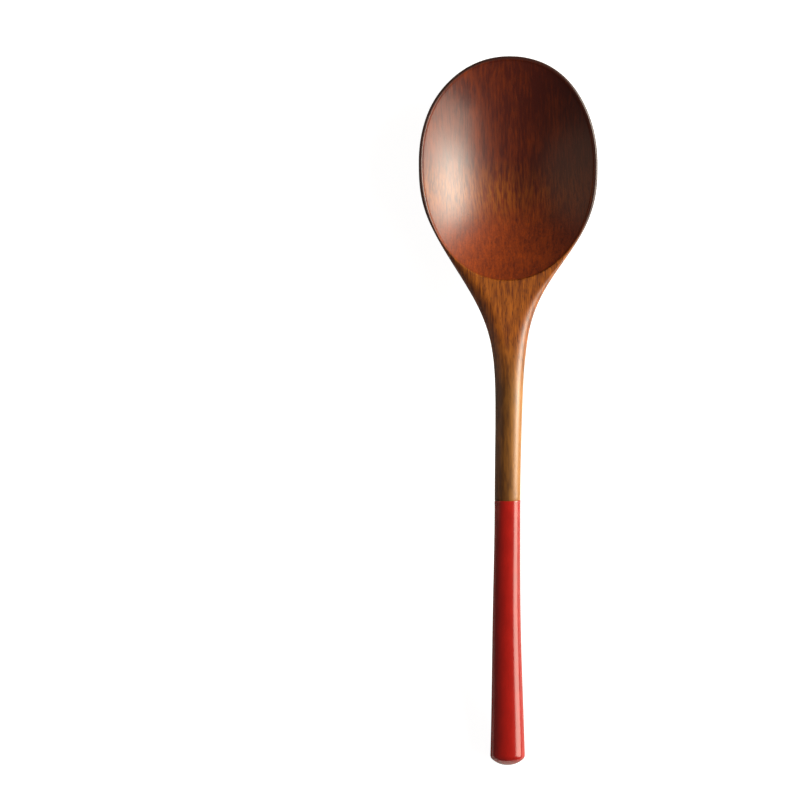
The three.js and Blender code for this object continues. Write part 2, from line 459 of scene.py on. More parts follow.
class SurfaceBuilder:
    """Gathers grids of points into one closed mesh with smooth shading.

    The mesh carries three attributes for its finish: stain, how far the wood takes the darker
    colour of the hollow and the rim, partly a staining and partly painted shade; dished, 1 in
    the hollow; and lean, how far the surface faces the bowl's tip, from -1 to 1.
    """

    def __init__(self) -> None:
        """Start with no points and no faces."""
        self.points: list[np.ndarray] = []
        self.stains_and_shade: list[np.ndarray] = []
        self.dished: list[np.ndarray] = []
        self.quads: list[np.ndarray] = []
        self.count = 0

    def add_grid(
        self, points: np.ndarray, stain_and_shade: np.ndarray | float = 0.0, dished: np.ndarray | float = 0.0
    ) -> None:
        """Add a grid whose columns wrap round.

        Each face joins a point to the next in its row and to the two below them.

        Args:
            points: Rows by columns of points, in metres.
            stain_and_shade: The share of the hollow's and the rim's darker colour, partly a staining
                and partly painted shade, for each point or for all of them.
            dished: 1 for points in the hollow, for each point or for all of them.
        """
        rows, columns = points.shape[:2]
        index = self.count + np.arange(rows * columns).reshape(rows, columns)
        right = np.roll(index, -1, axis=1)
        faces = np.stack([index[:-1], right[:-1], right[1:], index[1:]], axis=-1)
        self.quads.append(faces.reshape(-1, 4))
        self.points.append(points.reshape(-1, 3))
        self.stains_and_shade.append((stain_and_shade + np.zeros((rows, columns))).ravel())
        self.dished.append((dished + np.zeros((rows, columns))).ravel())
        self.count += rows * columns

    def make(self, name: str, weld: float) -> bpy.types.Object:
        """Weld the grids where they meet and return the closed object.

        Args:
            name: The object's name.
            weld: Points closer than this, in metres, become one.

        Returns:
            An object at the origin, its faces pointing outwards.
        """
        mesh = bpy.data.meshes.new(name)
        mesh.from_pydata(np.concatenate(self.points).tolist(), [], np.concatenate(self.quads).tolist())
        for label, values in (("stain_and_shade", self.stains_and_shade), ("dished", self.dished)):
            made = mesh.attributes.new(label, "FLOAT", "POINT")
            made.data.foreach_set("value", np.concatenate(values).astype(np.float32))
        shortest_edge = weld / 4.0
        shape = bmesh.new()
        shape.from_mesh(mesh)
        bmesh.ops.remove_doubles(shape, verts=shape.verts, dist=weld)
        bmesh.ops.dissolve_degenerate(shape, edges=shape.edges, dist=shortest_edge)
        bmesh.ops.recalc_face_normals(shape, faces=shape.faces)
        open_edges = sum(1 for edge in shape.edges if len(edge.link_faces) != 2)
        volume = shape.calc_volume(signed=True) / MM**3
        shape.to_mesh(mesh)
        shape.free()
        mesh.shade_smooth()
        normals = np.empty(3 * len(mesh.vertices), dtype=np.float32)
        mesh.vertices.foreach_get("normal", normals)
        lean = mesh.attributes.new("lean", "FLOAT", "POINT")
        lean.data.foreach_set("value", np.ascontiguousarray(normals[1::3]))
        piece = bpy.data.objects.new(name, mesh)
        bpy.context.scene.collection.objects.link(piece)
        log.info(
            "%s: %d points, %d faces, %d open edges, %.0f mm3",
            name, len(mesh.vertices), len(mesh.polygons), open_edges, volume,
        )
        return piece


@dataclass
class CarvedWood:
    """Bowl, neck and handle, carved from one piece of wood.

    The bowl's grids run in rings round its deepest place, and the handle's in rings round its
    length. They meet at the neck cut. edge_rings are the rings' distances outwards from the
    hollow's edge, close together where the edge turns.
    """

    form: SpoonForm
    neck_cut: float = 62.0
    neck_columns: int = 56
    bowl_columns: int = 432
    dish_rings: int = 26
    edge_rings: tuple[float, ...] = (
        -1.1, -0.9, -0.72, -0.58, -0.46, -0.36, -0.27, -0.19, -0.12, -0.06,
        0.0, 0.06, 0.12, 0.2, 0.3,
    )
    dish_margin: float = 1.265
    rim_rings: int = 18
    rim_closing: float = 1.7
    underside_rings: int = 34
    underside_closing: float = 1.5
    bare_rings: int = 66
    core_rings: int = 42
    end_rings: int = 14
    end_length: float = 5.0
    core_inset: float = 0.14
    core_step: float = 0.25
    # How far the darker colour of the rim and the hollow reaches: partly a staining of the wood,
    # partly painted shade.
    rim_stain_and_shade: float = 1.0
    rim_stain_and_shade_from: float = 40.0
    rim_stain_and_shade_to: float = 53.9
    stain_and_shade_over_rim: float = 0.22
    stain_and_shade_at_neck: float = -0.1
    stain_and_shade_fade: float = 0.2

    def turns(self) -> np.ndarray:
        """Return the directions of the bowl's columns, closing up round the neck's corners.

        Across the neck they pass through places spread as the sine of evenly spaced angles;
        the rest are evenly spaced angles round the bowl.
        """
        across = np.sin(np.linspace(-0.5, 0.5, self.neck_columns + 1) * math.pi)
        half = float(self.form.half_width(np.array(self.neck_cut)))
        neck = np.arctan2(half * across, self.neck_cut - self.form.widest_at)
        corner = neck[-1]
        bowl = np.linspace(corner, 2.0 * math.pi - corner, self.bowl_columns + 1)[1:-1]
        return np.concatenate([neck, bowl])

    def build(self) -> bpy.types.Object:
        """Carve the bowl and the handle, and return the closed piece."""
        surface = SurfaceBuilder()
        turns = self.turns()
        on_neck = np.arange(turns.size) <= self.neck_columns
        cut = (self.neck_cut - self.form.widest_at) / np.maximum(NOTHING, np.cos(turns))
        outline = np.where(on_neck, cut, self.form.reach(turns, self.form.half_width))
        self.add_bowl(surface, turns, outline, on_neck)
        self.add_underside(surface, turns, outline, on_neck)
        self.add_handle(surface)
        return surface.make("carved_wood", WELD)

    def add_bowl(
        self, surface: SurfaceBuilder, turns: np.ndarray, outline: np.ndarray, on_neck: np.ndarray
    ) -> None:
        """Add the upper side of the bowl: the dish, the hollow's edge and the rim beyond it.

        The rim's rings close up towards the lip: each one's share of the way is one minus a
        power of what is left. On the lip the distance to the outline is exactly nothing.

        Args:
            surface: Takes the grid.
            turns: The columns' directions from the deepest place.
            outline: The distance to the bowl's outline, or to the neck cut, in each direction.
            on_neck: Which columns end at the neck cut.
        """
        form = self.form
        hollow = form.reach(turns, form.hollow_half_width)
        share = np.linspace(0.0, 1.0, self.dish_rings)[:-1, None]
        dish = share * (hollow - self.dish_margin)[None, :]
        edge = hollow[None, :] + np.array(self.edge_rings)[:, None]
        closing = 1.0 - (1.0 - np.linspace(0.0, 1.0, self.rim_rings)[1:, None]) ** self.rim_closing
        rim = edge[-1:] + closing * (outline - edge[-1])[None, :]
        radius = np.concatenate([dish, edge, rim])
        x, s = radius * np.sin(turns), form.widest_at + radius * np.cos(turns)
        from_edge = form.distance_to_outline(x, s)
        from_edge[-1] = np.where(on_neck, from_edge[-1], 0.0)
        from_edge[-1, [0, self.neck_columns]] = 0.0
        across = x / np.maximum(NOTHING, form.half_width(s))
        upper, _ = form.section(s, across, from_edge, np.zeros_like(s))
        z = soft_min(upper, form.hollow_floor(s, radius, hollow), form.edge_softness(s))
        # The hollow's and the rim's darker colour: partly a staining, partly painted shade.
        on_rim = self.rim_stain_and_shade * (1.0 - smoothstep(s, self.rim_stain_and_shade_from, self.rim_stain_and_shade_to))
        to_neck = smoothstep(s, form.crisp_from, self.rim_stain_and_shade_to)
        over = blend(self.stain_and_shade_over_rim, self.stain_and_shade_at_neck, to_neck)
        in_hollow = np.clip((hollow + over - radius) / self.stain_and_shade_fade, 0.0, 1.0)
        surface.add_grid(form.place(x, s, z), np.maximum(on_rim, in_hollow), in_hollow)

    def add_underside(
        self, surface: SurfaceBuilder, turns: np.ndarray, outline: np.ndarray, on_neck: np.ndarray
    ) -> None:
        """Add the underside of the bowl, from the outline in to under the deepest place.

        The rings lie closest at the lip: the share of the way still to go is one minus a power.

        Args:
            surface: Takes the grid.
            turns: The columns' directions from the deepest place.
            outline: The distance to the bowl's outline, or to the neck cut, in each direction.
            on_neck: Which columns end at the neck cut.
        """
        form = self.form
        inward = 1.0 - np.linspace(0.0, 1.0, self.underside_rings)[:, None] ** self.underside_closing
        radius = inward * outline[None, :]
        x, s = radius * np.sin(turns), form.widest_at + radius * np.cos(turns)
        across = x / np.maximum(NOTHING, form.half_width(s))
        across[0] = np.where(on_neck, across[0], np.sign(across[0]))
        across[0, [0, self.neck_columns]] = (-1.0, 1.0)
        _, lower = form.section(s, across, np.zeros_like(across), np.zeros_like(across))
        surface.add_grid(form.place(x, s, lower))

    def add_handle(self, surface: SurfaceBuilder) -> None:
        """Add the handle: rings from the bowl's own points at the neck to the end under the coat."""
        form = self.form
        end = form.length - self.core_inset
        bare = np.linspace(self.neck_cut, form.coat_from, self.bare_rings)
        core = np.linspace(form.coat_from + self.core_step, end - self.end_length, self.core_rings)
        rounding = end - self.end_length * np.linspace(1.0, 0.0, self.end_rings)[1:] ** 2
        stations = np.concatenate([bare, core, rounding])[:, None]
        inset = np.where(stations > form.coat_from, self.core_inset, 0.0)
        surface.add_grid(HandleRing(form, self.neck_columns).points(stations, inset))


@dataclass(frozen=True)
class HandleRing:
    """The points round one cross-section of the handle: over the top, then underneath."""

    form: SpoonForm
    columns: int
    outline_margin: float = 5.0

    def points(self, s: np.ndarray, inset: np.ndarray) -> np.ndarray:
        """Return the points of one ring for each row of s and inset.

        Over the top and underneath alike, they are spread as the sine of evenly spaced angles.

        Args:
            s: Distance from the tip, rows by 1 or rows by columns.
            inset: How far each row is set in, of the same rows.

        Returns:
            Rows by columns of points, in metres.
        """
        angle = np.linspace(-0.5, 0.5, self.columns + 1) * math.pi
        across = np.concatenate([np.sin(angle), np.sin(angle)[-2:0:-1]])[None, :]
        over = np.arange(across.size)[None, :] <= self.columns
        s = s + np.zeros_like(across)
        inset = inset + np.zeros_like(s)
        half = self.form.plan_curve(s, inset)
        x = half * across
        from_edge = half * (1.0 - np.abs(across))
        near_bowl = s < self.form.rounding_to + self.outline_margin
        from_edge[near_bowl] = self.form.distance_to_outline(x[near_bowl], s[near_bowl])
        from_edge = np.where(np.abs(across) == 1.0, 0.0, from_edge)
        upper, lower = self.form.section(s, across, from_edge, inset)
        return self.form.place(x, s, np.where(over, upper, lower))


@dataclass
class LacquerCoat:
    """The dipped coat: a thin closed-end sleeve with a soft bead where the dip ended.

    film is its thickness and proud how far it stands out over the wood. Its rings close up
    towards the rounded end, over the last end_share of its length.
    """

    form: SpoonForm
    columns: int = 64
    film: float = 0.12
    proud: float = 0.03
    bead: float = 0.015
    bead_length: float = 0.5
    bead_at: float = 0.6
    bead_reach: float = 3.0
    line_tilt: float = 0.14
    tilt_turn: float = 0.8
    line_ripple: float = 0.05
    ripple_turn: float = 2.0
    ripples: int = 3
    end_share: float = 0.07
    end_rings: int = 22
    end_closing: float = 1.8
    inner_step: int = 3
    inner_rings: int = 36
    inner_from: float = 0.09
    lip_rings: int = 6
    bead_rings: int = 9
    outer_rings: int = 60

    def dip_line(self) -> np.ndarray:
        """Return where the lacquer starts round the handle: level, but for a tilt and a ripple."""
        turn = np.linspace(0.0, 2.0 * math.pi, 2 * self.columns, endpoint=False)
        tilt = self.line_tilt * np.sin(turn + self.tilt_turn)
        ripple = self.line_ripple * np.sin(self.ripples * turn + self.ripple_turn)
        return self.form.coat_from + tilt + ripple

    def build(self) -> bpy.types.Object:
        """Lay the film from its inner end, out over its mouth and along the outside.

        The mouth is flat, with its points spread as the sine of evenly spaced angles. The bead is
        a bell on the first of the outside: e to the power of minus the square of the distance
        from its middle, in bead lengths.
        """
        form = self.form
        line = self.dip_line()[None, :]
        inner_end, outer_end = form.length - self.film, form.length + self.proud
        closing = self.end_share * np.linspace(0.0, 1.0, self.end_rings) ** self.end_closing
        straight = np.linspace(self.inner_from, 1.0, self.inner_rings)
        inner_share = np.concatenate([closing[::self.inner_step], straight])[:, None]
        inner = inner_end + inner_share * (line - inner_end)
        lip_turn = np.linspace(0.0, 0.5 * math.pi, self.lip_rings)[1:-1, None]
        lip = np.broadcast_to(line, (lip_turn.size, line.size))
        along = self.bead_reach * self.bead_length * np.linspace(0.0, 1.0, self.bead_rings)[:, None]
        beaded = line + along
        straight = np.linspace(0.0, 1.0 - self.end_share, self.outer_rings)[1:]
        outer_share = np.concatenate([straight, 1.0 - closing[::-1][1:]])[:, None]
        outer = beaded[-1:] + outer_share * (outer_end - beaded[-1:])
        swell = self.bead * np.exp(-((along / self.bead_length - self.bead_at) ** 2))
        inset = np.concatenate([
            np.full((inner.shape[0], 1), self.film),
            self.film * (1.0 - np.sin(lip_turn)) - self.proud * np.sin(lip_turn),
            -self.proud - swell,
            np.full((outer.shape[0], 1), -self.proud),
        ])
        surface = SurfaceBuilder()
        stations = np.concatenate([inner, lip, beaded, outer])
        surface.add_grid(HandleRing(form, self.columns).points(stations, inset))
        return surface.make("red_lacquer", WELD)


class Socket(Enum):
    """The kinds of socket that a node group's interface holds."""

    NUMBER = "NodeSocketFloat"
    VECTOR = "NodeSocketVector"


@dataclass(frozen=True)
class Span:
    """A straight carry of a number, from low..high to bottom..top, held beyond both ends."""

    low: float
    high: float
    bottom: float = 0.0
    top: float = 1.0


@dataclass(frozen=True)
class Figure:
    """A noise texture's own settings: its scale along each axis, in parts per millimetre."""

    scale: Triple
    detail: float = 2.0
    rough: float = 0.5
    warp: float = 0.0


class NodeSketch:
    """Short calls to lay out nodes and links in one node tree."""

    def __init__(self, tree: bpy.types.NodeTree) -> None:
        """Work in the given tree."""
        self.tree = tree

    def node(self, kind: str, **settings: object) -> bpy.types.Node:
        """Add a node of a kind, such as TexNoise, with its own settings."""
        made = self.tree.nodes.new("ShaderNode" + kind)
        for name, value in settings.items():
            setattr(made, name, value)
        return made

    def feed(self, socket: bpy.types.NodeSocket, source: Source) -> None:
        """Link a socket to another, or set its value when the source is a plain one."""
        if isinstance(source, bpy.types.NodeSocket):
            self.tree.links.new(source, socket)
        else:
            socket.default_value = source

    def math(
        self, operation: str, a: Source, b: Source = 0.0, c: Source = 0.0, clamp: bool = False
    ) -> bpy.types.NodeSocket:
        """Return a number worked out from up to three sockets or values."""
        made = self.node("Math", operation=operation, use_clamp=clamp)
        for socket, source in zip(made.inputs, (a, b, c)):
            self.feed(socket, source)
        return made.outputs[0]

    def product(self, a: Source, b: Source) -> bpy.types.NodeSocket:
        """Return a times b."""
        return self.math("MULTIPLY", a, b)

    def distance(self, a: Source, b: Source) -> bpy.types.NodeSocket:
        """Return how far a is from b."""
        return self.math("ABSOLUTE", self.math("SUBTRACT", a, b))

    def stretch(
        self, vector: Source, scale: Triple, turn: Triple = (0.0, 0.0, 0.0)
    ) -> bpy.types.NodeSocket:
        """Return the vector turned and scaled by a Mapping node."""
        made = self.node("Mapping")
        self.feed(made.inputs["Vector"], vector)
        made.inputs["Scale"].default_value = scale
        made.inputs["Rotation"].default_value = turn
        return made.outputs["Vector"]

    def noise(self, vector: Source, figure: Figure) -> bpy.types.Node:
        """Return a noise texture of the given figure."""
        made = self.node("TexNoise")
        self.feed(made.inputs["Vector"], self.stretch(vector, figure.scale))
        made.inputs["Scale"].default_value = 1.0
        made.inputs["Detail"].default_value = figure.detail
        made.inputs["Roughness"].default_value = figure.rough
        made.inputs["Distortion"].default_value = figure.warp
        return made

    def carry(
        self, value: Source, span: Span, bottom: Source | None = None, top: Source | None = None
    ) -> bpy.types.NodeSocket:
        """Return the value carried along a span.

        Args:
            value: What is carried.
            span: From where to where.
            bottom: Stands for the span's own bottom, where that varies.
            top: Stands for the span's own top, where that varies.

        Returns:
            The carried value.
        """
        made = self.node("MapRange")
        self.feed(made.inputs["Value"], value)
        made.inputs["From Min"].default_value = span.low
        made.inputs["From Max"].default_value = span.high
        self.feed(made.inputs["To Min"], span.bottom if bottom is None else bottom)
        self.feed(made.inputs["To Max"], span.top if top is None else top)
        return made.outputs["Result"]

    def choose(self, share: Source, a: Source, b: Source) -> bpy.types.NodeSocket:
        """Return a number: a where share is 0, b where it is 1, and the mix between."""
        return self.carry(share, Span(0.0, 1.0), a, b)

    def mix(self, share: Source, a: Source, b: Source) -> bpy.types.NodeSocket:
        """Return a colour: a where share is 0, b where it is 1, and the mix between."""
        made = self.node("Mix", data_type="RGBA")
        factor, first, second = made.inputs[0], made.inputs[6], made.inputs[7]
        for socket, source in ((factor, share), (first, a), (second, b)):
            if isinstance(source, tuple):
                source = (*source, 1.0)
            self.feed(socket, source)
        return made.outputs[2]

    def group(self, tree: bpy.types.NodeTree, vector: Source, **inputs: float) -> bpy.types.Node:
        """Return a node for a shared group, with its vector and its other inputs set."""
        made = self.node("Group", node_tree=tree)
        self.feed(made.inputs["Vector"], vector)
        for name, value in inputs.items():
            made.inputs[name.replace("_", " ").title()].default_value = value
        return made


class GroupSketch(NodeSketch):
    """A sketch in a new node group that takes a vector in millimetres and gives out numbers."""

    def __init__(self, name: str, outputs: tuple[str, ...], **inputs: float) -> None:
        """Make the group.

        Args:
            name: The group's name.
            outputs: The names of the numbers that it gives out.
            **inputs: The numbers that it takes beside the vector, and their defaults.
        """
        super().__init__(bpy.data.node_groups.new(name, "ShaderNodeTree"))
        interface = self.tree.interface
        interface.new_socket(name="Vector", in_out="INPUT", socket_type=Socket.VECTOR.value)
        for label, default in inputs.items():
            title = label.replace("_", " ").title()
            made = interface.new_socket(name=title, in_out="INPUT", socket_type=Socket.NUMBER.value)
            made.default_value = default
        for label in outputs:
            interface.new_socket(name=label, in_out="OUTPUT", socket_type=Socket.NUMBER.value)
        self.inputs = self.tree.nodes.new("NodeGroupInput").outputs
        self.outputs = self.tree.nodes.new("NodeGroupOutput").inputs


@dataclass(frozen=True)
class OpenGrain:
    """Open-pored grain: a solid pattern with its fibres along Y, in millimetres.

    Bands are several millimetres wide, streaks under one, fibres finer still. Streaks and fibres
    change slowly through the wood's depth, so that a dish cut into it shows long figures and no
    specks. Pores are long cells whose size changes from one to the next, and mottle is the curl
    seen where fibres are cut short.
    """

    drift: Figure = Figure((0.05, 0.03, 0.05))
    drift_reach: Triple = (3.0, 0.0, 3.0)
    band: Figure = Figure((0.28, 0.012, 0.28))
    streak: Figure = Figure((1.1, 0.05, 0.4), detail=3.0, rough=0.6)
    fibre: Figure = Figure((2.4, 0.26, 0.35), rough=0.6)
    mottle: Figure = Figure((1.5, 1.0, 1.0), detail=3.0, rough=0.65, warp=1.2)
    cells: Triple = (2.3, 0.42, 1.2)
    pore_size: float = 0.3
    pore_variety: Span = Span(0.0, 1.0, 0.3, 1.1)
    pore_by_band: Span = Span(0.35, 0.65, 0.8, 1.15)
    pore_edge: Span = Span(0.55, 1.0, 1.0, 0.0)

    def bent(self, sketch: GroupSketch) -> bpy.types.NodeSocket:
        """Return the group's vector, pushed aside by a slow noise so that no fibre is straight."""
        vector = sketch.inputs["Vector"]
        offset = sketch.node("VectorMath", operation="MULTIPLY_ADD")
        sketch.feed(offset.inputs[0], sketch.noise(vector, self.drift).outputs["Color"])
        offset.inputs[1].default_value = self.drift_reach
        sketch.feed(offset.inputs[2], vector)
        return offset.outputs[0]

    def pores(
        self, sketch: GroupSketch, bent: bpy.types.NodeSocket, band: bpy.types.NodeSocket
    ) -> bpy.types.NodeSocket:
        """Return 1 in the pores and 0 between them; lighter bands have wider pores."""
        cells = sketch.node("TexVoronoi", feature="F1")
        sketch.feed(cells.inputs["Vector"], sketch.stretch(bent, self.cells))
        cells.inputs["Scale"].default_value = 1.0
        size = sketch.node("SeparateColor")
        sketch.feed(size.inputs[0], cells.outputs["Color"])
        wide = sketch.product(
            sketch.inputs["Pore Size"], sketch.carry(size.outputs[0], self.pore_variety)
        )
        wide = sketch.product(wide, sketch.carry(band, self.pore_by_band))
        return sketch.carry(sketch.math("DIVIDE", cells.outputs["Distance"], wide), self.pore_edge)

    def group(self) -> bpy.types.NodeTree:
        """Return the node group."""
        labels = ("Band", "Streak", "Fibre", "Mottle", "Pore")
        sketch = GroupSketch("Open-pored grain", labels, pore_size=self.pore_size)
        bent = self.bent(sketch)
        figures = [sketch.noise(bent, figure).outputs[0]
                   for figure in (self.band, self.streak, self.fibre, self.mottle)]
        pores = self.pores(sketch, bent, figures[0])
        for label, source in zip(labels, (*figures, pores)):
            sketch.feed(sketch.outputs[label], source)
        return sketch.tree


@dataclass(frozen=True)
class HandPolish:
    """The slow unevenness that sanding and brushing or dipping by hand leave in a film.

    Waves are several millimetres long, the mottle about one.
    """

    waves: Figure = Figure((0.16, 0.09, 0.16), detail=1.0)
    mottle: Figure = Figure((1.4, 0.9, 1.4))
    haze: Figure = Figure((0.5, 0.22, 0.5), detail=3.0, rough=0.6)

    def group(self) -> bpy.types.NodeTree:
        """Return the node group, with the film's height in millimetres and its haze."""
        sketch = GroupSketch("Hand polish", ("Height", "Haze"), waves=1.0, mottle=1.0)
        vector = sketch.inputs["Vector"]
        waves = sketch.noise(vector, self.waves).outputs[0]
        mottle = sketch.noise(vector, self.mottle).outputs[0]
        fine = sketch.product(mottle, sketch.inputs["Mottle"])
        height = sketch.math("MULTIPLY_ADD", waves, sketch.inputs["Waves"], fine)
        sketch.feed(sketch.outputs["Height"], height)
        sketch.feed(sketch.outputs["Haze"], sketch.noise(vector, self.haze).outputs[0])
        return sketch.tree


@dataclass(frozen=True)
class Film:
    """A clear or coloured film's optical settings, and the relief of its surface.

    The haze of the hand polish carries the roughness along its span. waves and mottle are the
    heights of the relief, in millimetres.
    """

    roughness: Span
    sheen_level: float
    coat_roughness: float
    waves: float
    mottle: float
    relief_strength: float
    coat_ior: float = 1.5
    coat: float = 1.0


class MaterialSketch(NodeSketch):
    """A sketch in a new material, with its Principled node and its coordinates at hand."""

    def __init__(self, name: str) -> None:
        """Make the material, with object coordinates in millimetres as its place."""
        self.material = bpy.data.materials.new(name)
        self.material.use_nodes = True
        super().__init__(self.material.node_tree)
        self.principled = self.tree.nodes["Principled BSDF"]
        self.place = self.stretch(self.node("TexCoord").outputs["Object"], (1.0 / MM,) * 3)

    def attribute(self, name: str) -> bpy.types.NodeSocket:
        """Return one of the numbers that the mesh carries."""
        return self.node("Attribute", attribute_name=name).outputs["Fac"]

    def lay_film(
        self, film: Film, polish: bpy.types.Node, colour: Source, height: Source
    ) -> bpy.types.Material:
        """Feed the Principled node and return the material.

        Args:
            film: The film's settings.
            polish: The hand polish, whose haze the roughness follows.
            colour: The colour under the film.
            height: The surface's height in millimetres.

        Returns:
            The finished material.
        """
        inputs = self.principled.inputs
        self.feed(inputs["Base Color"], colour)
        self.feed(inputs["Roughness"], self.carry(polish.outputs["Haze"], film.roughness))
        bump = self.node("Bump")
        bump.inputs["Distance"].default_value = MM
        bump.inputs["Strength"].default_value = film.relief_strength
        self.feed(bump.inputs["Height"], height)
        self.feed(inputs["Normal"], bump.outputs["Normal"])
        inputs["Specular IOR Level"].default_value = film.sheen_level
        inputs["Coat IOR"].default_value = film.coat_ior
        inputs["Coat Weight"].default_value = film.coat
        inputs["Coat Roughness"].default_value = film.coat_roughness
        return self.material


@dataclass(frozen=True)
class VarnishedWood:
    """Reddish-brown open-pored hardwood under satin varnish, darker and redder in the hollow.

    The hollow's and the rim's darker colour is partly a staining of the wood and partly painted
    shade. In the hollow the wood turns from maroon, where the surface faces the handle, to
    orange, where it faces the tip: this turn is painted shade and painted light. Where it faces
    the tip the cut also shows its fibres' ends as curl. Painted light makes the hollow's left
    wall and the neck's right edge paler, and painted shade darkens the neck's left side along
    with a darker streak in the grain. A tone is how far the wood has turned from its dark colour
    to its light one. Places are in millimetres in the CAD frame.
    """

    # The hollow's colours, darker and redder than the bare wood's, are partly a staining and partly
    # painted shade of the recess.
    hollow_dark: Colour = (0.055, 0.0045, 0.0007)
    hollow_light: Colour = (0.25, 0.037, 0.001)
    # Near black along the rim: partly a staining, partly painted shade over the light its rounded lip
    # catches.
    rim: Colour = (0.03, 0.004, 0.001)
    shoulder_dark: Colour = (0.09, 0.015, 0.001)
    shoulder_light: Colour = (0.33, 0.088, 0.006)
    neck_dark: Colour = (0.07, 0.022, 0.002)
    neck_light: Colour = (0.34, 0.13, 0.016)
    golden: Colour = (0.28, 0.08, 0.0035)
    pore: Colour = (0.04, 0.008, 0.001)

    band_tone: Span = Span(0.3, 0.7, -0.12, 0.12)
    noise_middle: float = 0.5
    hollow_fibre: float = 0.9
    bare_fibre: Span = Span(0.0, 1.0, 2.4, 0.5)
    hollow_streak: float = 0.8
    bare_streak: float = 1.3
    curl_by_lean: Span = Span(0.1, 0.4, 0.1, 1.4)

    # Painted shade and painted light by the way the surface faces: the hollow darkens where it faces
    # the handle and on its floor, and turns lighter and orange where it faces the tip.
    painted_light_past_tip_wall: Span = Span(-0.45, -0.2, 0.0, 0.14)
    painted_shade_at_bottom: Span = Span(-0.15, 0.0, 0.0, -0.07)
    painted_light_to_handle: Span = Span(0.0, 0.4, 0.0, 0.45)
    # Painted light: the hollow turns paler towards its left wall, which faces the lamps.
    painted_light_to_left: Span = Span(4.0, -8.0, 0.0, 0.15)
    golden_at: float = 55.5
    golden_band: Span = Span(9.0, 0.0, 0.0, 0.6)
    golden_to_right: Span = Span(-1.0, 3.0, 1.0, 0.45)
    golden_fibres: Span = Span(0.4, 0.6)

    shoulder_to_neck: Span = Span(19.0, 5.0)
    # Painted shade on the neck's left side, partly a darker streak in the grain.
    dark_streak_at: float = -1.8
    dark_streak: Span = Span(0.0, 3.0, -0.5, 0.0)
    # Painted light: the neck turns paler towards its right edge, which faces the lamps.
    painted_light_right_edge: Span = Span(0.6, 3.0, 0.0, 0.4)
    bare_tone: float = 0.55

    pore_size: float = 0.38
    hollow_pores: float = 0.28
    bare_pores: Span = Span(0.0, 1.0, 0.6, 0.2)
    pore_relief: float = -0.02
    fibre_relief: float = 0.01
    grain_turn: Triple = (math.radians(-14.0), 0.0, math.radians(-1.2))
    film: Film = Film(
        roughness=Span(0.3, 0.7, 0.45, 0.56), sheen_level=0.1, coat_roughness=0.35,
        waves=0.05, mottle=0.004, relief_strength=0.7,
    )

    def tone(
        self, sketch: MaterialSketch, pattern: bpy.types.Node, down: bpy.types.NodeSocket
    ) -> bpy.types.NodeSocket:
        """Return how light the wood is: the sum of its bands, streaks, fibres and curl.

        Bare wood shows its fibres strongly at the shoulder, where the cut crosses them, and
        faintly further down. The curl comes out where the surface leans towards the tip.

        Args:
            sketch: The material's sketch.
            pattern: The grain group's node.
            down: 0 on the shoulder and 1 on the neck.

        Returns:
            The tone, about nothing.
        """
        dished = sketch.attribute("dished")
        tone = sketch.carry(pattern.outputs["Band"], self.band_tone)
        fibre = sketch.choose(dished, sketch.carry(down, self.bare_fibre), self.hollow_fibre)
        streak = sketch.choose(dished, self.bare_streak, self.hollow_streak)
        curl = sketch.carry(sketch.attribute("lean"), self.curl_by_lean)
        for label, strength in (("Fibre", fibre), ("Streak", streak), ("Mottle", curl)):
            part = sketch.math("SUBTRACT", pattern.outputs[label], self.noise_middle)
            tone = sketch.math("MULTIPLY_ADD", part, strength, tone)
        return tone

    def stained_lit_and_shaded(
        self,
        sketch: MaterialSketch,
        tone: bpy.types.NodeSocket,
        fibre: bpy.types.NodeSocket,
        place: bpy.types.Node,
    ) -> bpy.types.NodeSocket:
        """Return the hollow's colour: tone, painted light and shade, and a golden figure across it.

        Args:
            sketch: The material's sketch.
            tone: The wood's own tone.
            fibre: The grain's fibres, which the golden figure follows.
            place: Gives the place along each axis.

        Returns:
            The colour.
        """
        lean = sketch.attribute("lean")
        level = tone
        # Painted light and shade by the way the surface faces.
        for span in (self.painted_light_past_tip_wall, self.painted_shade_at_bottom, self.painted_light_to_handle):
            level = sketch.math("ADD", level, sketch.carry(lean, span))
        # Painted light on the hollow's left wall.
        paler = sketch.carry(place.outputs["X"], self.painted_light_to_left)
        level = sketch.math("ADD", level, paler, clamp=True)
        colour = sketch.mix(level, self.hollow_dark, self.hollow_light)
        gold = sketch.carry(sketch.distance(place.outputs["Y"], self.golden_at), self.golden_band)
        gold = sketch.product(gold, sketch.carry(place.outputs["X"], self.golden_to_right))
        gold = sketch.product(gold, sketch.carry(fibre, self.golden_fibres))
        return sketch.mix(gold, colour, self.golden)

    def bare(
        self,
        sketch: MaterialSketch,
        tone: bpy.types.NodeSocket,
        place: bpy.types.Node,
        down: bpy.types.NodeSocket,
    ) -> bpy.types.NodeSocket:
        """Return the bare wood's colour, by tone: redder at the shoulder, golden at the neck.

        A darker streak runs down the neck left of its middle and fades to its sides: partly darker
        heartwood, partly painted shade on the side away from the lamps. The wood turns paler
        towards the neck's right edge, a painted light on the side that faces them.

        Args:
            sketch: The material's sketch.
            tone: The wood's own tone.
            place: Gives the place along each axis.
            down: 0 on the shoulder and 1 on the neck.

        Returns:
            The colour.
        """
        x = place.outputs["X"]
        # A darker band left of the neck's middle, partly grain and partly painted shade, and painted
        # light towards its right edge.
        streak_and_shade = sketch.carry(sketch.distance(x, self.dark_streak_at), self.dark_streak)
        side = sketch.math("ADD", streak_and_shade, sketch.carry(x, self.painted_light_right_edge))
        level = sketch.math("MULTIPLY_ADD", side, down, tone)
        level = sketch.math("ADD", level, self.bare_tone, clamp=True)
        dark = sketch.mix(down, self.shoulder_dark, self.neck_dark)
        light = sketch.mix(down, self.shoulder_light, self.neck_light)
        return sketch.mix(level, dark, light)

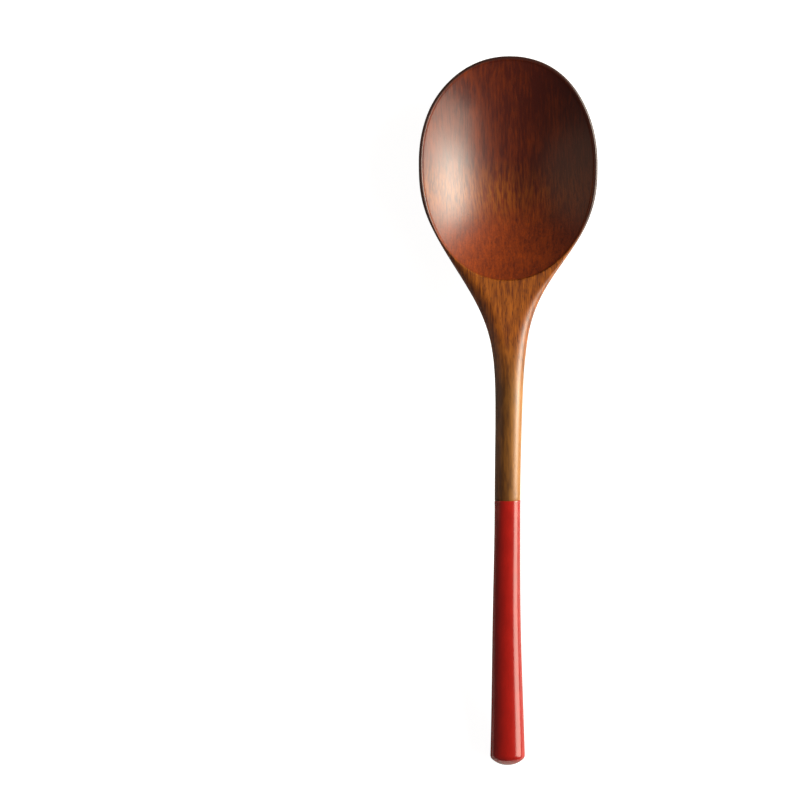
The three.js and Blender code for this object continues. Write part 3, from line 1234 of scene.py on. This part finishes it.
    def colour(self, sketch: MaterialSketch, pattern: bpy.types.Node) -> bpy.types.NodeSocket:
        """Return the wood's colour: bare, or darker in the hollow and on the rim, with dark pores."""
        place = sketch.node("SeparateXYZ")
        sketch.feed(place.inputs[0], sketch.place)
        down = sketch.carry(place.outputs["Y"], self.shoulder_to_neck)
        dished = sketch.attribute("dished")
        tone = self.tone(sketch, pattern, down)
        hollow = self.stained_lit_and_shaded(sketch, tone, pattern.outputs["Fibre"], place)
        stained_lit_and_shaded = sketch.mix(dished, self.rim, hollow)
        bare = self.bare(sketch, tone, place, down)
        # The hollow's and the rim's darker colour, partly a staining and partly painted shade, over
        # the bare wood.
        wood = sketch.mix(sketch.attribute("stain_and_shade"), bare, stained_lit_and_shaded)
        depth = sketch.choose(dished, sketch.carry(down, self.bare_pores), self.hollow_pores)
        return sketch.mix(sketch.product(pattern.outputs["Pore"], depth), wood, self.pore)

    def make(self, grain: bpy.types.NodeTree, polish: bpy.types.NodeTree) -> bpy.types.Material:
        """Return the material, built on the shared grain and polish groups."""
        sketch = MaterialSketch("satin_hardwood")
        turned = sketch.stretch(sketch.place, (1.0, 1.0, 1.0), self.grain_turn)
        pattern = sketch.group(grain, turned, pore_size=self.pore_size)
        film = sketch.group(polish, sketch.place, waves=self.film.waves, mottle=self.film.mottle)
        height = film.outputs["Height"]
        height = sketch.math("MULTIPLY_ADD", pattern.outputs["Pore"], self.pore_relief, height)
        height = sketch.math("MULTIPLY_ADD", pattern.outputs["Fibre"], self.fibre_relief, height)
        return sketch.lay_film(self.film, film, self.colour(sketch, pattern), height)


@dataclass(frozen=True)
class RedLacquer:
    """Glossy opaque red, a dipped resin film with slow waves."""

    colour: Colour = (0.36, 0.0055, 0.0015)
    deep: Colour = (0.27, 0.004, 0.001)
    shade: Span = Span(0.2, 0.7)
    film: Film = Film(
        roughness=Span(0.3, 0.7, 0.41, 0.5), sheen_level=0.08, coat_roughness=0.17,
        waves=0.08, mottle=0.002, relief_strength=0.6, coat_ior=1.65,
    )

    def make(self, polish: bpy.types.NodeTree) -> bpy.types.Material:
        """Return the material, built on the shared polish group."""
        sketch = MaterialSketch("gloss_red")
        film = sketch.group(polish, sketch.place, waves=self.film.waves, mottle=self.film.mottle)
        shade = sketch.carry(film.outputs["Haze"], self.shade)
        red = sketch.mix(shade, self.deep, self.colour)
        return sketch.lay_film(self.film, film, red, film.outputs["Height"])


class Outline(Enum):
    """The outlines that a soft box can have."""

    RECTANGLE = "RECTANGLE"
    ELLIPSE = "ELLIPSE"


@dataclass(frozen=True)
class SoftBox:
    """A studio light, aimed at a place and unseen by the camera itself.

    Places and sizes are in metres, and the power is in watts.
    """

    name: str
    place: Triple
    aim: Triple
    width: float
    height: float
    power: float
    colour: Colour = WHITE
    outline: Outline = Outline.RECTANGLE

    def build(self) -> bpy.types.Object:
        """Hang the light and return it."""
        lamp = bpy.data.lights.new(self.name, "AREA")
        lamp.shape = self.outline.value
        lamp.size, lamp.size_y = self.width, self.height
        lamp.energy = self.power
        lamp.color = self.colour
        hung = bpy.data.objects.new(self.name, lamp)
        hung.location = self.place
        facing = Vector(self.aim) - Vector(self.place)
        hung.rotation_euler = facing.to_track_quat("-Z", "Y").to_euler()
        hung.visible_camera = False
        bpy.context.scene.collection.objects.link(hung)
        return hung


@dataclass
class Studio:
    """A plain pale floor, soft light from the right and a camera straight above.

    Lengths are in metres. A paleness is the share of the light that a surface gives back. The
    floor carries a paler card: right of the handle, with a soft edge, and beyond its end.
    """

    floor_size: float = 6.0
    camera_height: float = 1.6
    field_width: float = 0.2027
    frame_centre: tuple[float, float] = (-0.0273, 0.00295)
    focus_height: float = 0.012
    sensor: float = 36.0
    floor_glow: float = 0.96
    shadow_paleness: float = 0.3
    floor_paleness: float = 0.38
    card_paleness: float = 0.95
    card_to_right: Span = Span(0.0, 0.02)
    card_by_handle: Span = Span(0.05, 0.02)
    card_past_end: Span = Span(-0.09, -0.1)
    surroundings: float = 0.08
    bowl: Triple = (0.0, 0.06, 0.01)
    handle: Triple = (0.0, -0.04, 0.01)

    @property
    def lights(self) -> tuple[SoftBox, ...]:
        """The boxes: a large warm one and its core, one for the handle and a faint reddish fill."""
        return (
            SoftBox(
                "side_soft_box", place=(0.6, 0.17, 0.35), aim=self.bowl,
                width=0.5, height=0.42, power=6.6, colour=WARM,
            ),
            SoftBox(
                "side_core", place=(0.56, 0.19, 0.35), aim=self.bowl,
                width=0.34, height=0.26, power=3.1, colour=WARM, outline=Outline.ELLIPSE,
            ),
            SoftBox(
                "handle_soft_box", place=(0.6, -0.22, 0.35), aim=self.handle,
                width=0.4, height=0.42, power=2.8, colour=WARM,
            ),
            SoftBox(
                "left_glow", place=(-0.6, 0.12, 0.3), aim=self.bowl,
                width=0.5, height=0.7, power=0.6, colour=GLOW, outline=Outline.ELLIPSE,
            ),
        )

    def build_camera(self) -> None:
        """Look straight down with a long lens, the bowl's tip upwards."""
        lens = bpy.data.cameras.new("overhead_camera")
        lens.sensor_width = self.sensor
        lens.lens = self.sensor * self.camera_height / self.field_width
        camera = bpy.data.objects.new("overhead_camera", lens)
        camera.location = (*self.frame_centre, self.camera_height + self.focus_height)
        bpy.context.scene.collection.objects.link(camera)
        bpy.context.scene.camera = camera

    def pale_when_seen(
        self, sketch: NodeSketch, seen: bpy.types.NodeSocket, otherwise: bpy.types.NodeSocket
    ) -> bpy.types.NodeSocket:
        """Return a shader that is one thing to the camera and another to the light.

        Args:
            sketch: Where the nodes go.
            seen: The shader that the camera sees.
            otherwise: The shader that lights the object and is mirrored in it.

        Returns:
            The shader.
        """
        chosen = sketch.node("MixShader")
        sketch.feed(chosen.inputs[0], sketch.node("LightPath").outputs["Is Camera Ray"])
        sketch.feed(chosen.inputs[1], otherwise)
        sketch.feed(chosen.inputs[2], seen)
        return chosen.outputs[0]

    def build_floor(self) -> None:
        """Lay a pale floor that keeps a faint soft shadow and reflects little into the wood."""
        half = self.floor_size / 2.0
        corners = [(-half, -half, 0.0), (half, -half, 0.0), (half, half, 0.0), (-half, half, 0.0)]
        mesh = bpy.data.meshes.new("floor")
        mesh.from_pydata(corners, [], [(0, 1, 2, 3)])
        mesh.materials.append(self.floor_material())
        floor = bpy.data.objects.new("floor", mesh)
        bpy.context.scene.collection.objects.link(floor)

    def floor_material(self) -> bpy.types.Material:
        """Return the floor's material: glowing paper to the camera, duller to the object."""
        material = bpy.data.materials.new("pale_floor")
        material.use_nodes = True
        tree = material.node_tree
        tree.nodes.remove(tree.nodes["Principled BSDF"])
        sketch = NodeSketch(tree)
        glow = sketch.node("Emission")
        glow.inputs["Color"].default_value = (*WHITE, 1.0)
        glow.inputs["Strength"].default_value = self.floor_glow
        paper = sketch.node("BsdfDiffuse")
        paper.inputs["Color"].default_value = (*(self.shadow_paleness,) * 3, 1.0)
        seen = sketch.node("AddShader")
        sketch.feed(seen.inputs[0], glow.outputs[0])
        sketch.feed(seen.inputs[1], paper.outputs[0])
        dull = sketch.node("BsdfDiffuse")
        sketch.feed(dull.inputs["Color"], self.floor_colour(sketch))
        shader = self.pale_when_seen(sketch, seen.outputs[0], dull.outputs[0])
        sketch.feed(tree.nodes["Material Output"].inputs["Surface"], shader)
        return material

    def floor_colour(self, sketch: NodeSketch) -> bpy.types.NodeSocket:
        """Return the floor's grey for lighting, paler where the card lies."""
        place = sketch.node("SeparateXYZ")
        sketch.feed(place.inputs[0], sketch.node("TexCoord").outputs["Object"])
        right = sketch.carry(place.outputs["X"], self.card_to_right)
        near = sketch.carry(place.outputs["Y"], self.card_by_handle)
        beyond = sketch.carry(place.outputs["Y"], self.card_past_end)
        card = sketch.math("MAXIMUM", sketch.product(right, near), beyond)
        return sketch.mix(card, (self.floor_paleness,) * 3, (self.card_paleness,) * 3)

    def build_surroundings(self) -> None:
        """Surround the set with white for the camera and dim grey for the light on the object."""
        world = bpy.data.worlds.new("studio")
        world.use_nodes = True
        bpy.context.scene.world = world
        sketch = NodeSketch(world.node_tree)
        dim = sketch.tree.nodes["Background"]
        dim.inputs["Color"].default_value = (*WHITE, 1.0)
        dim.inputs["Strength"].default_value = self.surroundings
        white = sketch.node("Background")
        white.inputs["Color"].default_value = (*WHITE, 1.0)
        shader = self.pale_when_seen(sketch, white.outputs[0], dim.outputs[0])
        sketch.feed(sketch.tree.nodes["World Output"].inputs["Surface"], shader)

    def build(self) -> None:
        """Set the camera, the floor, the surroundings and the lights, and plain colour handling."""
        self.build_camera()
        self.build_floor()
        self.build_surroundings()
        for light in self.lights:
            light.build()
        bpy.context.scene.view_settings.view_transform = "Standard"


def dress(piece: bpy.types.Object, material: bpy.types.Material, node: str) -> None:
    """Give a piece its finish, let it ride on the spoon and stand for a CAD node.

    Args:
        piece: The piece.
        material: Its finish.
        node: The CAD node that it stands for.
    """
    piece.data.materials.append(material)
    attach(piece, "root")
    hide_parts(node)
    log.info("%s stands for %s", piece.name, node)


def main() -> None:
    """Carve the spoon to the frame's sizes, dress it and set up the studio."""
    logging.basicConfig(level=logging.INFO, format="%(name)s: %(message)s")
    low, high = CAD_BOUNDS
    coat_low, coat_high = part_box("red_lacquer_coat")
    form = SpoonForm(
        length=(high.y - low.y) / MM,
        bowl_width=(high.x - low.x) / MM,
        crest_height=high.z / MM,
        coat_length=(coat_high.y - coat_low.y) / MM,
    )
    Studio().build()
    grain, polish = OpenGrain().group(), HandPolish().group()
    wood = CarvedWood(form).build()
    dress(wood, VarnishedWood().make(grain, polish), "carved_spoon")
    lacquer = LacquerCoat(form).build()
    dress(lacquer, RedLacquer().make(polish), "red_lacquer_coat")


if __name__ == "__main__":
    main()
